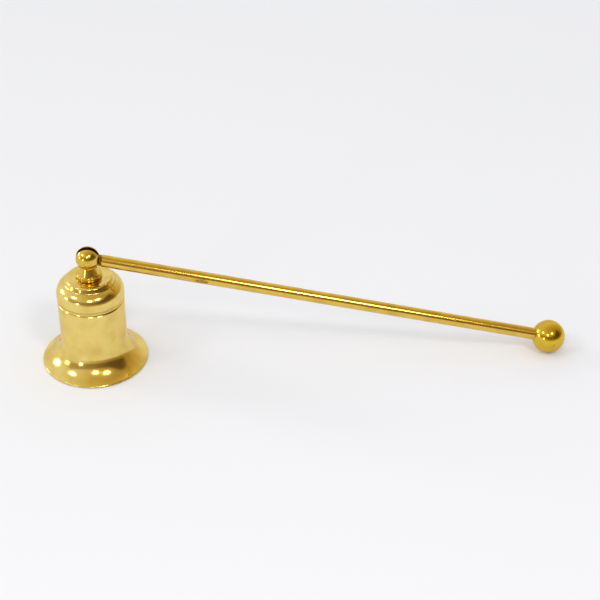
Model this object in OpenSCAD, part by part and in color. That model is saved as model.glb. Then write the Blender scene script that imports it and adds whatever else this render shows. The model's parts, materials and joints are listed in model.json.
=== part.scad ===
// Candle snuffer: a flared bell on a long rod handle, all in polished brass.
// The handle hinges in a slotted ball on the bell's crown and ends in a larger ball.
// Millimetres, +Z up. The origin is the centre of the bell's mouth, on the table plane.
// +X runs along the handle, which is drawn at rest with its end ball on the table.

/* [Bell] */
// Outside diameter of the mouth
rim_d = 38.5; // [35:0.5:46]
// Width of the ring that the mouth stands on, with its rounded outer edge
rim_flat = 0.65; // [0.4:0.05:1]
// Rounding of the rim's upper edge
rim_round = 0.3; // [0.1:0.05:0.5]
// Rounding of the rim's lower edge
rim_foot_round = 0.25; // [0.1:0.05:0.3]
// Slope of the lip at the mouth, in degrees above the table
lip_slope = 21; // [18:1:28]
// Radius of the curve between the lip and the straight wall
flare_r = 10.8; // [8:0.2:14]
// Outside diameter of the straight wall
wall_d = 24.1; // [21:0.1:26]
// Outside diameter of the band between the groove and the shoulder
band_d = 24.45; // [23:0.05:27]
// Height of the turned groove above the table
groove_z = 27.2; // [22:0.1:28]
// Radius of the groove's round bottom
groove_r = 1.3; // [0.8:0.05:1.6]
// Depth of the groove below the wall
groove_depth = 0.45; // [0.2:0.05:0.5]
// Radius of the shoulder's outer curve
shoulder_r = 5; // [3:0.1:6]
// Slope of the roof between the shoulder and the crown, in degrees
roof_slope = 26; // [14:1:30]
// Diameter of the raised crown at its top
crown_d = 16.4; // [14:0.2:18]
// Height of the crown above the roof's inner edge
crown_step = 1.7; // [1.2:0.1:2]
// Slope of the step between the roof and the crown, in degrees
crown_slope = 62; // [50:1:75]
// Rounding of the crown's edge and of the corner at its foot
crown_round = 0.8; // [0.2:0.05:0.9]
// Height of the crown's flat top above the table
crown_z = 36; // [33:0.1:44]
// Thickness of the bell's wall
sheet_t = 0.9; // [0.7:0.05:1.3]

/* [Finial] */
// Diameter of the slotted ball
ball_d = 8.55; // [7.6:0.05:10]
// Height of the hinge pin above the crown
pivot_rise = 7.8; // [7.4:0.05:10]
// Diameter of the round foot that seats on the crown
foot_d = 9.3; // [8.8:0.1:11]
// Height of the foot
foot_h = 1.9; // [1.4:0.1:2.2]
// Rounding of the foot's edges
foot_round = 0.6; // [0.1:0.05:0.6]
// Diameter of the neck's cone at the foot
neck_d = 8.1; // [7.6:0.1:8.6]
// Taper of the neck's cone, in degrees to its axis
neck_taper = 24; // [12:1:26]
// Room between the tongue's faces and the slot's walls, on each side
slot_side_clear = 0.2; // [0.1:0.05:0.35]
// Room between the lowered tongue and the slot's floor
slot_floor_clear = 0.15; // [0.1:0.05:0.4]
// Metal between the screw's tip and the slot's floor
slot_web = 0.8; // [0.5:0.1:1.2]
// Lowest angle of the handle on either side, in degrees below level
handle_drop = 19; // [16:1:20]

/* [Hinge pin] */
// Diameter of the pin
pin_d = 1.6; // [1.2:0.1:2]
// Room round the pin in the ball's cheeks, where it is a tight fit
pin_grip_clear = 0.01; // [0.005:0.005:0.02]
// Room round the pin in the tongue's eye, where the handle turns
pin_run_clear = 0.05; // [0.02:0.01:0.1]

/* [Handle] */
// Distance from the hinge pin to the end ball's centre
reach = 171.4; // [140:0.1:220]
// Diameter of the rod
rod_d = 4.4; // [3.8:0.1:5]
// Thickness of the flat tongue
tongue_t = 1.5; // [1.2:0.1:2]
// Depth of the tongue's top and bottom edges below the rod's surface
tongue_inset = 0.3; // [0.25:0.05:0.7]
// Diameter of the tongue's round eye
eye_d = 4; // [3.4:0.1:4.8]
// Room between the slotted ball and the rod's shoulder
rod_gap = 0.6; // [0.5:0.1:1.5]
// Chamfer on the rod's shoulder
rod_chamfer = 0.35; // [0.1:0.05:0.6]
// Diameter of the spigot that screws into the end ball
spigot_d = 3; // [2:0.1:3.4]
// Length of the spigot
spigot_l = 5; // [3:0.1:6]

/* [End ball] */
// Diameter of the ball
end_ball_d = 12.1; // [10:0.1:15]
// Width of the flat seat that shows round the rod
seat_rim = 0.1; // [0.05:0.05:0.4]
// Room past the spigot's tip in the blind hole
spigot_tip_clear = 0.3; // [0.1:0.1:1]

/* [Crown screw] */
// Diameter of the screw's thread, drawn plain
screw_d = 3; // [2.5:0.1:3.5]
// Diameter of the screw's head
screw_head_d = 5.6; // [5:0.1:6.2]
// Height of the screw's head
screw_head_h = 2; // [1.4:0.1:2.4]
// Rounding of the head's edge
screw_head_round = 0.7; // [0.2:0.1:1]
// Width of the driver slot
driver_slot_w = 0.8; // [0.5:0.1:1]
// Depth of the driver slot
driver_slot_depth = 1; // [0.5:0.1:1.2]
// Room round the screw in the crown and in the washers
screw_clear = 0.15; // [0.1:0.05:0.25]
// Room round the thread in the finial and round the spigot in the end ball
thread_clear = 0.02; // [0.01:0.01:0.05]
// Room past the screw's tip in the finial's blind hole
screw_tip_clear = 0.2; // [0.1:0.1:0.3]
// Outside diameter of the plain washer
washer_d = 7; // [6.4:0.1:8]
// Thickness of the plain washer
washer_t = 0.5; // [0.3:0.1:0.8]
// Outside diameter of the split lock washer
lock_washer_d = 6.2; // [5.6:0.1:6.6]
// Thickness of the split lock washer
lock_washer_t = 0.8; // [0.5:0.1:1]
// Width of the lock washer's split
lock_split_w = 0.6; // [0.3:0.1:1]

/* [Hidden] */
$fn = 96;
// Depth by which a cutter runs past the face that it opens
overrun = 1;

rim_r = rim_d / 2;
wall_r = wall_d / 2;
band_r = band_d / 2;
crown_r = crown_d / 2;
ball_r = ball_d / 2;
rod_r = rod_d / 2;
end_ball_r = end_ball_d / 2;

// Bell heights and radii
rim_h = sheet_t / cos(lip_slope) - rim_flat * tan(lip_slope);
roof_z = crown_z - crown_step;
ceiling_z = crown_z - sheet_t;
bore_r = wall_r - sheet_t;
crown_foot_r = crown_r + crown_step / tan(crown_slope);
// Distance by which the inner wall's corner between two slopes lies nearer the axis than the outer one
function corner_inset(a, b) = sheet_t * sin((a + b) / 2) / cos((a - b) / 2);
crown_bore_r = crown_r - corner_inset(crown_slope, 0);
crown_foot_bore_r = crown_foot_r - corner_inset(crown_slope, roof_slope);
function lip_z(r) = rim_h + (rim_r - r) * tan(lip_slope);
function lip_inner_z(r) = lip_z(r) - sheet_t / cos(lip_slope);
function roof_outer_z(r) = roof_z - (r - crown_foot_r) * tan(roof_slope);
function roof_inner_z(r) = roof_outer_z(r) - sheet_t / cos(roof_slope);

// Finial and hinge
pivot_z = crown_z + pivot_rise;
foot_top_z = crown_z + foot_h;
neck_r = neck_d / 2;
neck_tip_r = neck_r - (pivot_rise - foot_h) * tan(neck_taper);
slot_w = tongue_t + 2 * slot_side_clear;
tongue_h = rod_d - 2 * tongue_inset;
slot_depth = ball_r * tan(handle_drop) + tongue_h / 2 / cos(handle_drop) + slot_floor_clear;

// Handle, laid out along +X from the hinge pin and then tilted to its rest
rest_tilt = asin((pivot_z - end_ball_r) / reach);
rod_start = ball_r + rod_gap;
rod_end = reach - sqrt(pow(end_ball_r, 2) - pow(rod_r + seat_rim, 2));

// Crown screw, from its head inside the bell up into the finial
screw_hole_d = screw_d + 2 * screw_clear;
screw_grip = pivot_rise - slot_depth - slot_web;
washer_z = ceiling_z - washer_t;
lock_washer_z = washer_z - lock_washer_t;
screw_tip_z = crown_z + screw_grip;

brass_bell = "#d9b95c";
brass_handle = "#c9a032";
brass_fixing = "#b8933a";
spring_steel = "#9a9a98";

// Outlines with round corners: each corner is [x, y, radius], listed anticlockwise
corner_fill = 0.98;
cap_overlap = 0.05;
// Each arc is cut this much oversize, so that it crosses the straight edges beside it
arc_bite = 0.0003;
function corner(c, i) = c[(i + len(c)) % len(c)];
function point(c, i) = [corner(c, i)[0], corner(c, i)[1]];
function edge(c, i) = norm(point(c, i + 1) - point(c, i));
function back_dir(c, i) = (point(c, i - 1) - point(c, i)) / edge(c, i - 1);
function next_dir(c, i) = (point(c, i + 1) - point(c, i)) / edge(c, i);
function half_angle(c, i) = acos(back_dir(c, i) * next_dir(c, i)) / 2;
function setback(c, i) = corner(c, i)[2] / tan(half_angle(c, i));
// Part of its radius that a corner has room for between its neighbours
function room(c, i) = min(
    1,
    corner_fill * edge(c, i - 1) / (setback(c, i - 1) + setback(c, i)),
    corner_fill * edge(c, i) / (setback(c, i) + setback(c, i + 1))
);
function radius(c, i) = corner(c, i)[2] * room(c, i);
function is_round(c, i) = corner(c, i)[2] > 0;
function is_convex(c, i) = cross(next_dir(c, i), back_dir(c, i)) > 0;
function arc_centre(c, i) =
    let (middle = back_dir(c, i) + next_dir(c, i))
    point(c, i) + middle / norm(middle) * radius(c, i) / sin(half_angle(c, i));
function arc_ends(c, i) =
    let (s = setback(c, i) * room(c, i))
    [point(c, i) + s * back_dir(c, i), point(c, i) + s * next_dir(c, i)];

// The sliver between a corner's arc and its chord, taken a little past each end of the chord
// and past the chord itself: into the metal on an outward corner, to the centre on an inward one
module arc_cap(c, i) {
    centre = arc_centre(c, i);
    ends = arc_ends(c, i);
    outward = (point(c, i) - centre) / norm(point(c, i) - centre);
    out = outward * radius(c, i);
    run = 2 * sqrt(radius(c, i) * arc_bite);
    from = ends[0] + run * back_dir(c, i);
    to = ends[1] + run * next_dir(c, i);
    past_chord = is_convex(c, i)
        ? [ends[1] - cap_overlap * outward, ends[0] - cap_overlap * outward]
        : [centre];
    intersection() {
        translate(centre) circle(radius(c, i) + arc_bite);
        polygon(concat([from, from + out, to + out, to], past_chord));
    }
}

module rounded_outline(c) {
    corners = [0 : len(c) - 1];
    difference() {
        union() {
            polygon([for (i = corners) each is_round(c, i) ? arc_ends(c, i) : [point(c, i)]]);
            for (i = corners) if (is_round(c, i) && is_convex(c, i)) arc_cap(c, i);
        }
        for (i = corners) if (is_round(c, i) && !is_convex(c, i)) arc_cap(c, i);
    }
}

// A cylinder along Y, centred on the hinge axis
module cross_pin(d, length) {
    translate([0, 0, pivot_z]) rotate([90, 0, 0]) cylinder(d = d, h = length, center = true);
}

// Takes a piece of the handle from the +X axis to its rest on the table
module at_rest() {
    translate([0, 0, pivot_z]) rotate([0, rest_tilt, 0]) children();
}

// A ring that lies flat at height z
module flat_ring(z, outer_d, inner_d, thickness) {
    translate([0, 0, z]) difference() {
        cylinder(d = outer_d, h = thickness);
        translate([0, 0, -overrun]) cylinder(d = inner_d, h = thickness + 2 * overrun);
    }
}

// Thin shell with a flared mouth, a turned groove and a stepped crown
module bell() {
    shell = [
        [rim_r - rim_flat, 0, 0],
        [rim_r, 0, rim_foot_round],
        [rim_r, rim_h, rim_round],
        [wall_r, lip_z(wall_r), flare_r],
        [wall_r, groove_z, 0],
        [band_r, groove_z, 0],
        [band_r, roof_outer_z(band_r), shoulder_r],
        [crown_foot_r, roof_z, crown_round],
        [crown_r, crown_z, crown_round],
        [screw_hole_d / 2, crown_z, 0],
        [screw_hole_d / 2, ceiling_z, 0],
        [crown_bore_r, ceiling_z, crown_round],
        [crown_foot_bore_r, roof_inner_z(crown_foot_bore_r), crown_round],
        [bore_r, roof_inner_z(bore_r), shoulder_r - sheet_t],
        [bore_r, lip_inner_z(bore_r), flare_r + sheet_t]
    ];
    color(brass_bell) rotate_extrude() difference() {
        rounded_outline(shell);
        translate([wall_r + groove_r - groove_depth, groove_z]) circle(groove_r);
    }
}

// Foot, tapered neck and slotted ball, turned in one piece
module finial() {
    neck = [
        [0, crown_z, 0],
        [foot_d / 2, crown_z, foot_round],
        [foot_d / 2, foot_top_z, foot_round],
        [neck_r, foot_top_z, 0],
        [neck_tip_r, pivot_z, 0],
        [0, pivot_z, 0]
    ];
    color(brass_handle) difference() {
        union() {
            rotate_extrude() rounded_outline(neck);
            translate([0, 0, pivot_z]) sphere(d = ball_d);
        }
        translate([-ball_d, -slot_w / 2, pivot_z - slot_depth])
            cube([2 * ball_d, slot_w, slot_depth + ball_d]);
        cross_pin(pin_d + 2 * pin_grip_clear, 2 * ball_d);
        translate([0, 0, crown_z - overrun])
            cylinder(d = screw_d + 2 * thread_clear, h = overrun + screw_grip + screw_tip_clear);
    }
}

// Slotted pan-head screw, driven from inside the bell
module finial_screw() {
    head_z = lock_washer_z - screw_head_h;
    head = [
        [0, head_z, 0],
        [screw_head_d / 2, head_z, screw_head_round],
        [screw_head_d / 2, lock_washer_z, 0],
        [screw_d / 2, lock_washer_z, 0],
        [screw_d / 2, screw_tip_z, 0],
        [0, screw_tip_z, 0]
    ];
    color(brass_fixing) difference() {
        rotate_extrude() rounded_outline(head);
        translate([-screw_head_d, -driver_slot_w / 2, head_z - overrun])
            cube([2 * screw_head_d, driver_slot_w, overrun + driver_slot_depth]);
    }
}

// Split washer, pressed flat under the screw's head
module lock_washer() {
    color(spring_steel) difference() {
        flat_ring(lock_washer_z, lock_washer_d, screw_hole_d, lock_washer_t);
        translate([0, -lock_split_w / 2, lock_washer_z - overrun])
            cube([lock_washer_d, lock_split_w, lock_washer_t + 2 * overrun]);
    }
}

// Plain washer between the lock washer and the crown
module plain_washer() {
    color(brass_fixing) flat_ring(washer_z, washer_d, screw_hole_d, washer_t);
}

// Cross pin, dressed flush with the ball's surface
module pivot_pin() {
    color(brass_handle) intersection() {
        cross_pin(pin_d, 2 * ball_d);
        translate([0, 0, pivot_z]) sphere(d = ball_d);
    }
}

// Rod with a flat tongue and eye at the hinge and a spigot at the far end
module handle_rod() {
    color(brass_handle) at_rest() difference() {
        union() {
            rotate([90, 0, 0]) cylinder(d = eye_d, h = tongue_t, center = true);
            translate([0, -tongue_t / 2, -tongue_h / 2])
                cube([rod_start + rod_chamfer, tongue_t, tongue_h]);
            translate([rod_start, 0, 0]) rotate([0, 90, 0])
                cylinder(r1 = rod_r - rod_chamfer, r2 = rod_r, h = rod_chamfer);
            translate([rod_start + rod_chamfer, 0, 0]) rotate([0, 90, 0])
                cylinder(r = rod_r, h = rod_end - rod_start - rod_chamfer);
            translate([rod_end - overrun, 0, 0]) rotate([0, 90, 0])
                cylinder(d = spigot_d, h = overrun + spigot_l);
        }
        rotate([90, 0, 0])
            cylinder(d = pin_d + 2 * pin_run_clear, h = tongue_t + 2 * overrun, center = true);
    }
}

// Turned ball with a flat seat and a blind hole for the rod's spigot
module end_ball() {
    color(brass_handle) at_rest() difference() {
        translate([reach, 0, 0]) sphere(d = end_ball_d);
        translate([rod_end - end_ball_d, 0, 0]) rotate([0, 90, 0])
            cylinder(d = end_ball_d, h = end_ball_d);
        translate([rod_end - overrun, 0, 0]) rotate([0, 90, 0])
            cylinder(d = spigot_d + 2 * thread_clear, h = overrun + spigot_l + spigot_tip_clear);
    }
}

bell();
finial();
finial_screw();
lock_washer();
plain_washer();
pivot_pin();
handle_rod();
end_ball();
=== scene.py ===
# Candle snuffer in polished brass: a spun bell, a turned finial and a rod handle that swings in it.
# Metres, in the part's own frame: +Z up, +X along the handle, origin at the centre of the bell's mouth.
import json
import math

import bpy
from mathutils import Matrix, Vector


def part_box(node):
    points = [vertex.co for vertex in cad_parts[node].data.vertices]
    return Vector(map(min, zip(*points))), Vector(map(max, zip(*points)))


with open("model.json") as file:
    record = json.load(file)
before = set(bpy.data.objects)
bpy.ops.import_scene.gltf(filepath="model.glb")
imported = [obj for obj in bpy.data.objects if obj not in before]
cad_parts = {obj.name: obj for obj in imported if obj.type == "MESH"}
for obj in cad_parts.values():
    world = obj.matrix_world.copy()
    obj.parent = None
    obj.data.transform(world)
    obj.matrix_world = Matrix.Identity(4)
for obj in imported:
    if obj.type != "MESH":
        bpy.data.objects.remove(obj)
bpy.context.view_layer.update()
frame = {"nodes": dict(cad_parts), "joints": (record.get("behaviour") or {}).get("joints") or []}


# Bell
# Sheet brass, spun over a former into a thin shell with a flared mouth, then turned at groove and crown.
# Outside it was buffed to a bright, pale gold mirror; inside it keeps the dull skin that the spinning left.
# Shade is painted brown in the groove, at the crown's foot and round the finial, and a painted shadow
# darkens the rim's lower edge.
MM = 0.001
BELL_BRIGHT = "#ecd27a"
BELL_DULL = "#cda54b"
# The brown of the tarnish specks, also used for the bell's painted shade and painted shadow
BELL_TARNISH_AND_SHADE = "#5c4218"
BRASS_EDGE = "#fbf4e2"
bell_roughness = 0.11
# Where and how strongly shade is painted: in the groove, at the crown's foot, round the finial's foot, and
# as a shadow at the rim
groove_height = 27.2 * MM
groove_shade_reach = 0.4 * MM
groove_shade_strength = 0.4
crown_foot_height = 34.3 * MM
crown_foot_shade_reach = 0.3 * MM
crown_foot_shade_strength = 0.25
finial_foot_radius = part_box("finial")[1].x
finial_foot_shade_reach = 0.35 * MM
finial_foot_shade_strength = 0.4
rim_shadow_reach = 0.5 * MM
rim_shadow_strength = 0.75
inside_lean = 0.3


def linear(colour):
    """A hex sRGB colour as linear RGBA."""
    shares = [int(colour[i:i + 2], 16) / 255 for i in (1, 3, 5)]
    return [s / 12.92 if s <= 0.04045 else ((s + 0.055) / 1.055) ** 2.4 for s in shares] + [1.0]


def add(tree, kind, inputs=None, **settings):
    """Adds a node with its settings, and sets or links each of its inputs."""
    node = tree.nodes.new(kind)
    for name, value in settings.items():
        setattr(node, name, value)
    for socket, value in (inputs or {}).items():
        if isinstance(value, bpy.types.NodeSocket):
            tree.links.new(value, node.inputs[socket])
        else:
            node.inputs[socket].default_value = value
    return node


def close_to(tree, value, centre, reach, strength):
    """A mask of strength where a value lies at centre, which falls to 0 at reach on either side."""
    gap = add(tree, "ShaderNodeMath", {0: value, 1: centre}, operation="SUBTRACT")
    size = add(tree, "ShaderNodeMath", {0: gap.outputs[0]}, operation="ABSOLUTE")
    fade = {"Value": size.outputs[0], "From Min": 0.0, "From Max": reach, "To Min": strength, "To Max": 0.0}
    return add(tree, "ShaderNodeMapRange", fade, interpolation_type="SMOOTHSTEP").outputs["Result"]


def metal(name, bright, dull, tarnish_and_shade, roughness, painted_shade_and_stains=None, unpolished=None,
          origin=(0, 0, 0), turn=(0, 0, 0), drawn=False):
    """Bare metal, mirror-like where it is polished, with the fine marks that the wheel or the tool leaves.
    The marks run round the piece's own axis, or along it on drawn rod, and handling dulls it in patches.
    Two masks may be given: painted shade in the recesses together with real stains, and where no wheel
    reached it."""
    material = bpy.data.materials.new(name)
    material.use_nodes = True
    tree = material.node_tree
    tree.nodes.clear()
    coords = add(tree, "ShaderNodeTexCoord")
    local = add(
        tree, "ShaderNodeMapping",
        {"Vector": coords.outputs["Object"], "Location": origin, "Rotation": turn},
        vector_type="TEXTURE",
    ).outputs["Vector"]
    axes = add(tree, "ShaderNodeSeparateXYZ", {0: local})
    flat = add(tree, "ShaderNodeVectorMath", {0: local, 1: (1, 1, 0)}, operation="MULTIPLY")
    radius = add(tree, "ShaderNodeVectorMath", {0: flat.outputs[0]}, operation="LENGTH")
    place = {
        "local": local,
        "x": axes.outputs["X"],
        "y": axes.outputs["Y"],
        "z": axes.outputs["Z"],
        "radius": radius.outputs["Value"],
        "normal": coords.outputs["Normal"],
    }

    # Buffing marks: real ones are some hundredths of a millimetre apart, drawn coarser so that they show.
    # Round a turned piece they have their full length at the radius turned_at.
    mark_pitch = 0.22 * MM
    mark_length = 30 * MM if drawn else 6 * MM
    mark_depth = 0.0001 * MM if drawn else 0.0004 * MM
    turned_at = 9 * MM
    if drawn:
        squeeze = (1 / mark_pitch, 1 / mark_pitch, 1 / mark_length)
        run = add(tree, "ShaderNodeVectorMath", {0: local, 1: squeeze}, operation="MULTIPLY").outputs[0]
    else:
        angle = add(tree, "ShaderNodeMath", {0: place["y"], 1: place["x"]}, operation="ARCTAN2")
        across = add(tree, "ShaderNodeMath", {0: place["radius"], 1: 1 / mark_pitch}, operation="MULTIPLY")
        along = add(tree, "ShaderNodeMath", {0: place["z"], 1: 1 / mark_pitch}, operation="MULTIPLY")
        marks_round = turned_at / mark_length
        around = add(tree, "ShaderNodeMath", {0: angle.outputs[0], 1: marks_round}, operation="MULTIPLY")
        run = add(
            tree, "ShaderNodeCombineXYZ",
            {"X": across.outputs[0], "Y": along.outputs[0], "Z": around.outputs[0]},
        ).outputs[0]
    marks = add(tree, "ShaderNodeTexNoise", {"Vector": run, "Scale": 1.0, "Detail": 3.0, "Roughness": 0.6})

    # Handling: cloudy patches some millimetres across, where the polish has gone off
    cloud_size = 7 * MM
    dull_starts, dull_full = 0.42, 0.72
    dull_share = 0.55
    rough_starts, rough_full = 0.3, 0.75
    roughest = 1.7 * roughness
    clouds = add(tree, "ShaderNodeTexNoise", {"Vector": local, "Scale": 1 / cloud_size, "Detail": 4.0})
    off_polish = add(
        tree, "ShaderNodeMapRange",
        {"Value": clouds.outputs["Fac"], "From Min": dull_starts, "From Max": dull_full,
         "To Min": 0.0, "To Max": dull_share},
    ).outputs["Result"]
    polish = add(
        tree, "ShaderNodeMapRange",
        {"Value": clouds.outputs["Fac"], "From Min": rough_starts, "From Max": rough_full,
         "To Min": roughness, "To Max": roughest},
    ).outputs["Result"]

    # Where the wheel never reached, the metal keeps its dull skin
    skin_roughness = 0.36
    if unpolished:
        skin = unpolished(tree, place)
        off_polish = add(tree, "ShaderNodeMath", {0: off_polish, 1: skin}, operation="MAXIMUM").outputs[0]
        polish = add(
            tree, "ShaderNodeMix", {"Factor": skin, "A": polish, "B": skin_roughness}, data_type="FLOAT",
        ).outputs["Result"]
    colour = add(
        tree, "ShaderNodeMix",
        {"Factor": off_polish, "A": linear(bright), "B": linear(dull)}, data_type="RGBA",
    ).outputs["Result"]

    # Specks of tarnish, a few tenths of a millimetre across and some millimetres apart
    speck_spacing = 2.2 * MM
    speck_size = 0.17 * MM
    speck_heart = 0.4 * speck_size
    speck_strength = 0.55
    cells = add(tree, "ShaderNodeTexVoronoi", {"Vector": local, "Scale": 1 / speck_spacing})
    tarnish_stains_and_shade = add(
        tree, "ShaderNodeMapRange",
        {"Value": cells.outputs["Distance"], "From Min": speck_heart / speck_spacing,
         "From Max": speck_size / speck_spacing, "To Min": speck_strength, "To Max": 0.0},
    ).outputs["Result"]

    # Painted shade in the recesses, and real stains, broken up by a grain of under a millimetre
    if painted_shade_and_stains:
        grain_size = 0.8 * MM
        grain_thin, grain_thick = 0.3, 0.6
        thinnest_shade_and_stain = 0.45
        grain = add(tree, "ShaderNodeTexNoise", {"Vector": local, "Scale": 1 / grain_size, "Detail": 4.0})
        broken = add(
            tree, "ShaderNodeMapRange",
            {"Value": grain.outputs["Fac"], "From Min": grain_thin, "From Max": grain_thick,
             "To Min": thinnest_shade_and_stain, "To Max": 1.0},
        ).outputs["Result"]
        shade_and_stain_mask = painted_shade_and_stains(tree, place)
        broken_shade_and_stains = add(tree, "ShaderNodeMath", {0: shade_and_stain_mask, 1: broken}, operation="MULTIPLY").outputs[0]
        tarnish_stains_and_shade = add(tree, "ShaderNodeMath", {0: tarnish_stains_and_shade, 1: broken_shade_and_stains}, operation="MAXIMUM").outputs[0]
    # Tarnish specks, stains and painted shade take the dark colour and a duller finish
    tarnish_and_shade_roughness = 0.45
    colour = add(
        tree, "ShaderNodeMix", {"Factor": tarnish_stains_and_shade, "A": colour, "B": linear(tarnish_and_shade)}, data_type="RGBA",
    ).outputs["Result"]
    polish = add(
        tree, "ShaderNodeMix", {"Factor": tarnish_stains_and_shade, "A": polish, "B": tarnish_and_shade_roughness}, data_type="FLOAT",
    ).outputs["Result"]

    # Sharp corners are worn a little round
    edge_round = 0.12 * MM
    soft_edge = add(tree, "ShaderNodeBevel", {"Radius": edge_round}, samples=8)
    bump = add(
        tree, "ShaderNodeBump",
        {"Height": marks.outputs["Fac"], "Strength": 1.0, "Distance": mark_depth,
         "Normal": soft_edge.outputs["Normal"]},
    )
    shader = add(
        tree, "ShaderNodeBsdfPrincipled",
        {"Base Color": colour, "Metallic": 1.0, "Roughness": polish, "Normal": bump.outputs["Normal"],
         "Specular Tint": linear(BRASS_EDGE)},
    )
    add(tree, "ShaderNodeOutputMaterial", {"Surface": shader.outputs["BSDF"]})
    return material


def bell_painted_shade(tree, place):
    """Painted shade in the groove, at the crown's foot and round the finial's foot, and a painted shadow
    under the rim's edge.
    """
    groove = close_to(tree, place["z"], groove_height, groove_shade_reach, groove_shade_strength)
    step = close_to(tree, place["z"], crown_foot_height, crown_foot_shade_reach, crown_foot_shade_strength)
    foot = close_to(
        tree, place["radius"], finial_foot_radius, finial_foot_shade_reach, finial_foot_shade_strength,
    )
    rim = close_to(tree, place["z"], 0.0, rim_shadow_reach, rim_shadow_strength)
    lines = groove
    for line in (step, foot, rim):
        lines = add(tree, "ShaderNodeMath", {0: lines, 1: line}, operation="MAXIMUM").outputs[0]
    return lines


def bell_inside(tree, place):
    """1 on the faces that look in to the axis or down, against a way out that leans up by inside_lean."""
    lift = add(tree, "ShaderNodeMath", {0: place["radius"], 1: inside_lean}, operation="MULTIPLY")
    outward = add(tree, "ShaderNodeCombineXYZ", {"X": place["x"], "Y": place["y"], "Z": lift.outputs[0]})
    facing = add(
        tree, "ShaderNodeVectorMath",
        {0: place["normal"], 1: outward.outputs[0]}, operation="DOT_PRODUCT",
    ).outputs["Value"]
    return add(tree, "ShaderNodeMath", {0: facing, 1: 0.0}, operation="LESS_THAN").outputs[0]


def dress(node, material):
    """Gives a CAD node its finish."""
    frame["nodes"][node].material_slots[0].material = material


dress("bell", metal("spun_brass_polished", BELL_BRIGHT, BELL_DULL, BELL_TARNISH_AND_SHADE, bell_roughness,
                    painted_shade_and_stains=bell_painted_shade, unpolished=bell_inside))


# Finial
# Solid brass bar, turned into a foot, a tapered neck and a ball, then slit for the handle's tongue.
# A screw inside the bell holds it on the crown. Its gold is a little deeper than the bell's.
# The saw cut is darkened with painted shade.
FINIAL_BRIGHT = "#e2c159"
FINIAL_DULL = "#c49a3e"
# The brown of tarnish and stains, also used for the painted shade in the saw cut and on the tongue
HANDLE_TARNISH_AND_SHADE = "#6a3f12"
finial_roughness = 0.1
hinge = Vector(frame["joints"][0]["pos_m"])
slot_half_width = 0.95 * MM
slot_depth = 3.63 * MM
slot_edge = 0.06 * MM


def slot_painted_shade(tree, place):
    """1 on the walls and the floor of the saw cut, where shade is painted."""
    cheek = slot_half_width + slot_edge
    slot_floor = hinge.z - slot_depth - slot_edge
    across = add(tree, "ShaderNodeMath", {0: place["y"]}, operation="ABSOLUTE").outputs[0]
    between = add(tree, "ShaderNodeMath", {0: across, 1: cheek}, operation="LESS_THAN").outputs[0]
    above = add(tree, "ShaderNodeMath", {0: place["z"], 1: slot_floor}, operation="GREATER_THAN").outputs[0]
    return add(tree, "ShaderNodeMath", {0: between, 1: above}, operation="MULTIPLY").outputs[0]


dress("finial", metal("turned_brass_finial", FINIAL_BRIGHT, FINIAL_DULL, HANDLE_TARNISH_AND_SHADE, finial_roughness,
                      painted_shade_and_stains=slot_painted_shade))


# Hinge pin
# Plain brass wire, pressed through both cheeks of the ball and dressed flush with them.
# Only its two round ends show, as bright as the ball.
pin_roughness = 0.12
along_pin = (math.radians(90), 0, 0)
dress("pivot_pin", metal("brass_pin_wire", FINIAL_BRIGHT, FINIAL_DULL, HANDLE_TARNISH_AND_SHADE, pin_roughness,
                         origin=hinge, turn=along_pin))


# Handle rod
# Drawn brass rod with a flat tongue milled at the hinge, and a screwed spigot inside the end ball.
# It lies tilted from the hinge down to the table, and its marks run along it.
# The tongue is darkened with painted shade where it sits in the ball's slot, and damp has left one stain
# lower down.
ROD_BRIGHT = "#e3c15e"
ROD_DULL = "#bf9238"
rod_roughness = 0.1
ball_low, ball_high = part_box("end_ball")
ball_radius = (ball_high.y - ball_low.y) / 2
ball_centre = Vector((ball_high.x - ball_radius, 0, ball_low.z + ball_radius))
tilt = math.atan2(hinge.z - ball_centre.z, ball_centre.x)
along_rod = (0, math.radians(90) + tilt, 0)
tongue_length = 4.9 * MM
stain_place = Vector((0.3, -2.2, 41.0)) * MM
stain_size = Vector((1.5, 1.2, 3.2)) * MM
stain_strength = 0.65


def blot(tree, place, centre, size):
    """1 in the middle of a ragged patch, which fades to 0 at size from its centre along each axis."""
    shift = add(tree, "ShaderNodeVectorMath", {0: place["local"], 1: centre}, operation="SUBTRACT")
    share = add(tree, "ShaderNodeVectorMath", {0: shift.outputs[0], 1: size}, operation="DIVIDE")
    away = add(tree, "ShaderNodeVectorMath", {0: share.outputs[0]}, operation="LENGTH")
    rag_size = 0.9 * MM
    solid_within, gone_beyond = 0.95, 1.45
    rag = add(tree, "ShaderNodeTexNoise", {"Vector": place["local"], "Scale": 1 / rag_size, "Detail": 3.0})
    ragged = add(tree, "ShaderNodeMath", {0: away.outputs["Value"], 1: rag.outputs["Fac"]}, operation="ADD")
    fade = {
        "Value": ragged.outputs[0], "From Min": solid_within, "From Max": gone_beyond,
        "To Min": 1.0, "To Max": 0.0,
    }
    return add(tree, "ShaderNodeMapRange", fade, interpolation_type="SMOOTHSTEP").outputs["Result"]


def rod_shade_and_stain(tree, place):
    """Painted shade on the tongue, and the stain on the rod's lower side."""
    tongue = add(
        tree, "ShaderNodeMath", {0: place["z"], 1: tongue_length}, operation="LESS_THAN",
    ).outputs[0]
    stain = blot(tree, place, stain_place, stain_size)
    faint = add(tree, "ShaderNodeMath", {0: stain, 1: stain_strength}, operation="MULTIPLY").outputs[0]
    return add(tree, "ShaderNodeMath", {0: tongue, 1: faint}, operation="MAXIMUM").outputs[0]


dress("handle_rod", metal("drawn_brass_rod", ROD_BRIGHT, ROD_DULL, HANDLE_TARNISH_AND_SHADE, rod_roughness,
                          painted_shade_and_stains=rod_shade_and_stain, origin=hinge, turn=along_rod, drawn=True))


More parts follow.
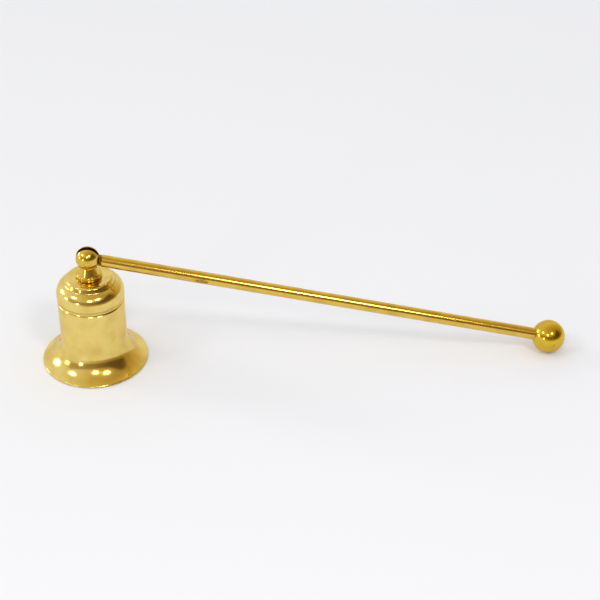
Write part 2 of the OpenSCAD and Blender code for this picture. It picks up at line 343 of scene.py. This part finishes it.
# End ball
# Solid brass, turned to a ball and screwed on the rod's spigot against a small flat seat.
# A short dark streak of tarnish marks its front.
BALL_BRIGHT = "#dfba40"
BALL_DULL = "#bd8f30"
ball_roughness = 0.1
streak_place = Vector((-0.2, -5.8, 1.2)) * MM
streak_size = Vector((1.0, 0.6, 0.35)) * MM
streak_strength = 0.5


def ball_residue(tree, place):
    """The streak of tarnish on the ball's front."""
    streak = blot(tree, place, streak_place, streak_size)
    return add(tree, "ShaderNodeMath", {0: streak, 1: streak_strength}, operation="MULTIPLY").outputs[0]


dress("end_ball", metal("turned_brass_ball", BALL_BRIGHT, BALL_DULL, HANDLE_TARNISH_AND_SHADE, ball_roughness,
                        painted_shade_and_stains=ball_residue, origin=ball_centre, turn=along_rod))


# Crown screw and washers
# A slotted brass screw, a plain brass washer and a zinc-plated spring washer, out of sight inside the bell.
# They are as the machine left them, satin and a little browned.
FIXING_BRIGHT = "#cdae62"
FIXING_DULL = "#94733a"
ZINC_BRIGHT = "#b4b6b6"
ZINC_DULL = "#85888a"
ZINC_RESIDUE = "#4c4a46"
screw_roughness = 0.2
washer_roughness = 0.24
zinc_roughness = 0.28
dress("finial_screw", metal("turned_brass_screw", FIXING_BRIGHT, FIXING_DULL, HANDLE_TARNISH_AND_SHADE,
                            screw_roughness))
dress("plain_washer", metal("pressed_brass_washer", FIXING_BRIGHT, FIXING_DULL, HANDLE_TARNISH_AND_SHADE,
                            washer_roughness))
dress("lock_washer", metal("zinc_plated_steel", ZINC_BRIGHT, ZINC_DULL, ZINC_RESIDUE, zinc_roughness))


# Floor
# A plain pale sheet under the object, matt and without a pattern.
# It is not part of the object.
FLOOR = "#f6f6f8"
floor_reach = 3.0
floor_roughness = 0.9
floor_mesh = bpy.data.meshes.new("floor")
corners = [(x * floor_reach, y * floor_reach, 0) for x, y in ((-1, -1), (1, -1), (1, 1), (-1, 1))]
floor_mesh.from_pydata(corners, [], [(0, 1, 2, 3)])
floor = bpy.data.objects.new("floor", floor_mesh)
bpy.context.scene.collection.objects.link(floor)
floor_paint = bpy.data.materials.new("matt_white_sheet")
floor_paint.use_nodes = True
floor_shader = floor_paint.node_tree.nodes["Principled BSDF"]
floor_shader.inputs["Base Color"].default_value = linear(FLOOR)
floor_shader.inputs["Roughness"].default_value = floor_roughness
floor_mesh.materials.append(floor_paint)


# Light
# Small soft lamps stand round the front and the left of an even room, and show in the metal as points.
# The room lights the sheet near white. In the metal it is pale on the left and behind, tan overhead,
# and dim on the right, and its brown front wall draws the dark lines that bright metal needs.
ROOM = "#dbdcdf"
ROOM_PALE = "#f2f1f0"
ROOM_TAN = "#d4c088"
ROOM_DIM = "#a28a4e"
FRONT_DARK = "#675431"
FRONT_PALE = "#c0b090"
LAMP = "#fffdf8"
bell_middle = Vector((0, 0, 20)) * MM
# Each lamp's bearing to the right of the front and its height, in degrees,
# then its distance from the bell and its width, in metres, and its glow
lamps = {
    "lamp_left": (-112, 17, 3.0, 0.84, 8),
    "lamp_left_low": (-82, 12, 3.0, 0.48, 8),
    "lamp_left_high": (-69, 45, 3.0, 0.60, 8),
    "lamp_front_low": (-39, 12, 3.0, 0.48, 7),
    "lamp_front": (1, 43, 0.66, 0.13, 10),
    "lamp_right_high": (35, 49, 1.77, 0.32, 16),
}
for name, (side, rise, distance, width, lamp_glow) in lamps.items():
    lamp_data = bpy.data.lights.new(name, "AREA")
    lamp_data.shape = "DISK"
    lamp_data.size = width
    lamp_data.color = linear(LAMP)[:3]
    # A flat disk of a given glow sends out pi watts for each unit of it and each square metre
    lamp_area = math.pi * (width / 2) ** 2
    lamp_data.energy = lamp_glow * math.pi * lamp_area
    lamp = bpy.data.objects.new(name, lamp_data)
    lamp_turn = math.radians(side)
    lamp_rise = math.radians(rise)
    away = Vector((
        math.cos(lamp_rise) * math.sin(lamp_turn),
        -math.cos(lamp_rise) * math.cos(lamp_turn),
        math.sin(lamp_rise),
    ))
    lamp.location = bell_middle + distance * away
    lamp.rotation_euler = (-away).to_track_quat("-Z", "Y").to_euler()
    bpy.context.scene.collection.objects.link(lamp)

# How pale the room is on its right, in its middle and behind, and where dim turns tan and tan turns pale
pale_right, pale_middle, pale_behind = -0.45, 0.5, 0.65
tan_starts, tan_full = 0.1, 0.5
pale_starts, pale_full = 0.55, 0.9

# The front wall, in degrees: where it starts and ends, its foot, its top and its higher right part,
# and the bearings between which its dark turns pale
front_left, front_right = (-85, -70), (82, 100)
front_foot = (8, 12)
front_top, front_top_right = 31, 46
front_rises = (42, 72)
front_top_blur = 3
front_fades = (45, -70)

world = bpy.data.worlds.new("room")
world.use_nodes = True
room = world.node_tree
way = add(room, "ShaderNodeSeparateXYZ", {0: add(room, "ShaderNodeTexCoord").outputs["Generated"]})
forward = add(room, "ShaderNodeMath", {0: way.outputs["Y"], 1: -1.0}, operation="MULTIPLY")
turned = add(room, "ShaderNodeMath", {0: way.outputs["X"], 1: forward.outputs[0]}, operation="ARCTAN2")
bearing = add(room, "ShaderNodeMath", {0: turned.outputs[0]}, operation="DEGREES").outputs[0]
raised = add(room, "ShaderNodeMath", {0: way.outputs["Z"]}, operation="ARCSINE")
height = add(room, "ShaderNodeMath", {0: raised.outputs[0]}, operation="DEGREES").outputs[0]

leftward = add(
    room, "ShaderNodeMath",
    {0: way.outputs["X"], 1: pale_right, 2: pale_middle}, operation="MULTIPLY_ADD",
).outputs[0]
behind = add(room, "ShaderNodeMath", {0: way.outputs["Y"], 1: 0.0}, operation="MAXIMUM").outputs[0]
paleness = add(
    room, "ShaderNodeMath", {0: behind, 1: pale_behind, 2: leftward}, operation="MULTIPLY_ADD",
).outputs[0]
to_tan = add(
    room, "ShaderNodeMapRange", {"Value": paleness, "From Min": tan_starts, "From Max": tan_full},
)
to_pale = add(
    room, "ShaderNodeMapRange", {"Value": paleness, "From Min": pale_starts, "From Max": pale_full},
)
warm = add(
    room, "ShaderNodeMix",
    {"Factor": to_tan.outputs["Result"], "A": linear(ROOM_DIM), "B": linear(ROOM_TAN)}, data_type="RGBA",
)
walls = add(
    room, "ShaderNodeMix",
    {"Factor": to_pale.outputs["Result"], "A": warm.outputs["Result"], "B": linear(ROOM_PALE)},
    data_type="RGBA",
)

top = add(
    room, "ShaderNodeMapRange",
    {"Value": bearing, "From Min": front_rises[0], "From Max": front_rises[1],
     "To Min": front_top, "To Max": front_top_right},
)
over = add(room, "ShaderNodeMath", {0: height, 1: top.outputs["Result"]}, operation="SUBTRACT").outputs[0]
front = None
for value, (nothing, full) in (
    (bearing, front_left), (bearing, front_right[::-1]), (height, front_foot),
    (over, (front_top_blur, -front_top_blur)),
):
    share = add(
        room, "ShaderNodeMapRange", {"Value": value, "From Min": nothing, "From Max": full},
        interpolation_type="SMOOTHSTEP",
    ).outputs["Result"]
    if front:
        share = add(room, "ShaderNodeMath", {0: front, 1: share}, operation="MULTIPLY").outputs[0]
    front = share
fade = add(
    room, "ShaderNodeMapRange",
    {"Value": bearing, "From Min": front_fades[0], "From Max": front_fades[1]},
)
front_wall = add(
    room, "ShaderNodeMix",
    {"Factor": fade.outputs["Result"], "A": linear(FRONT_DARK), "B": linear(FRONT_PALE)}, data_type="RGBA",
)
reflected = add(
    room, "ShaderNodeMix",
    {"Factor": front, "A": walls.outputs["Result"], "B": front_wall.outputs["Result"]}, data_type="RGBA",
)
ray = add(room, "ShaderNodeLightPath")
seen = add(
    room, "ShaderNodeMix",
    {"Factor": ray.outputs["Is Glossy Ray"], "A": linear(ROOM), "B": reflected.outputs["Result"]},
    data_type="RGBA",
)
room.links.new(seen.outputs["Result"], room.nodes["Background"].inputs["Color"])
bpy.context.scene.world = world


# Camera
# A long lens above the table, as far up and away as the photograph's view.
# It looks almost square to the handle.
view_height = math.radians(35.922)
view_side = math.radians(1.416)
view_distance = 660 * MM
aim = Vector((76.21, 33.33, 0)) * MM
lens_mm = 102.5
sensor_mm = 36
nearest_seen = 10 * MM
look = Vector((
    math.sin(view_side) * math.cos(view_height),
    math.cos(view_side) * math.cos(view_height),
    -math.sin(view_height),
))
camera_data = bpy.data.cameras.new("camera")
camera_data.lens = lens_mm
camera_data.sensor_width = sensor_mm
camera_data.clip_start = nearest_seen
camera = bpy.data.objects.new("camera", camera_data)
camera.location = aim - view_distance * look
camera.rotation_euler = look.to_track_quat("-Z", "Y").to_euler()
bpy.context.scene.collection.objects.link(camera)
bpy.context.scene.camera = camera
bpy.context.scene.view_settings.view_transform = "Standard"
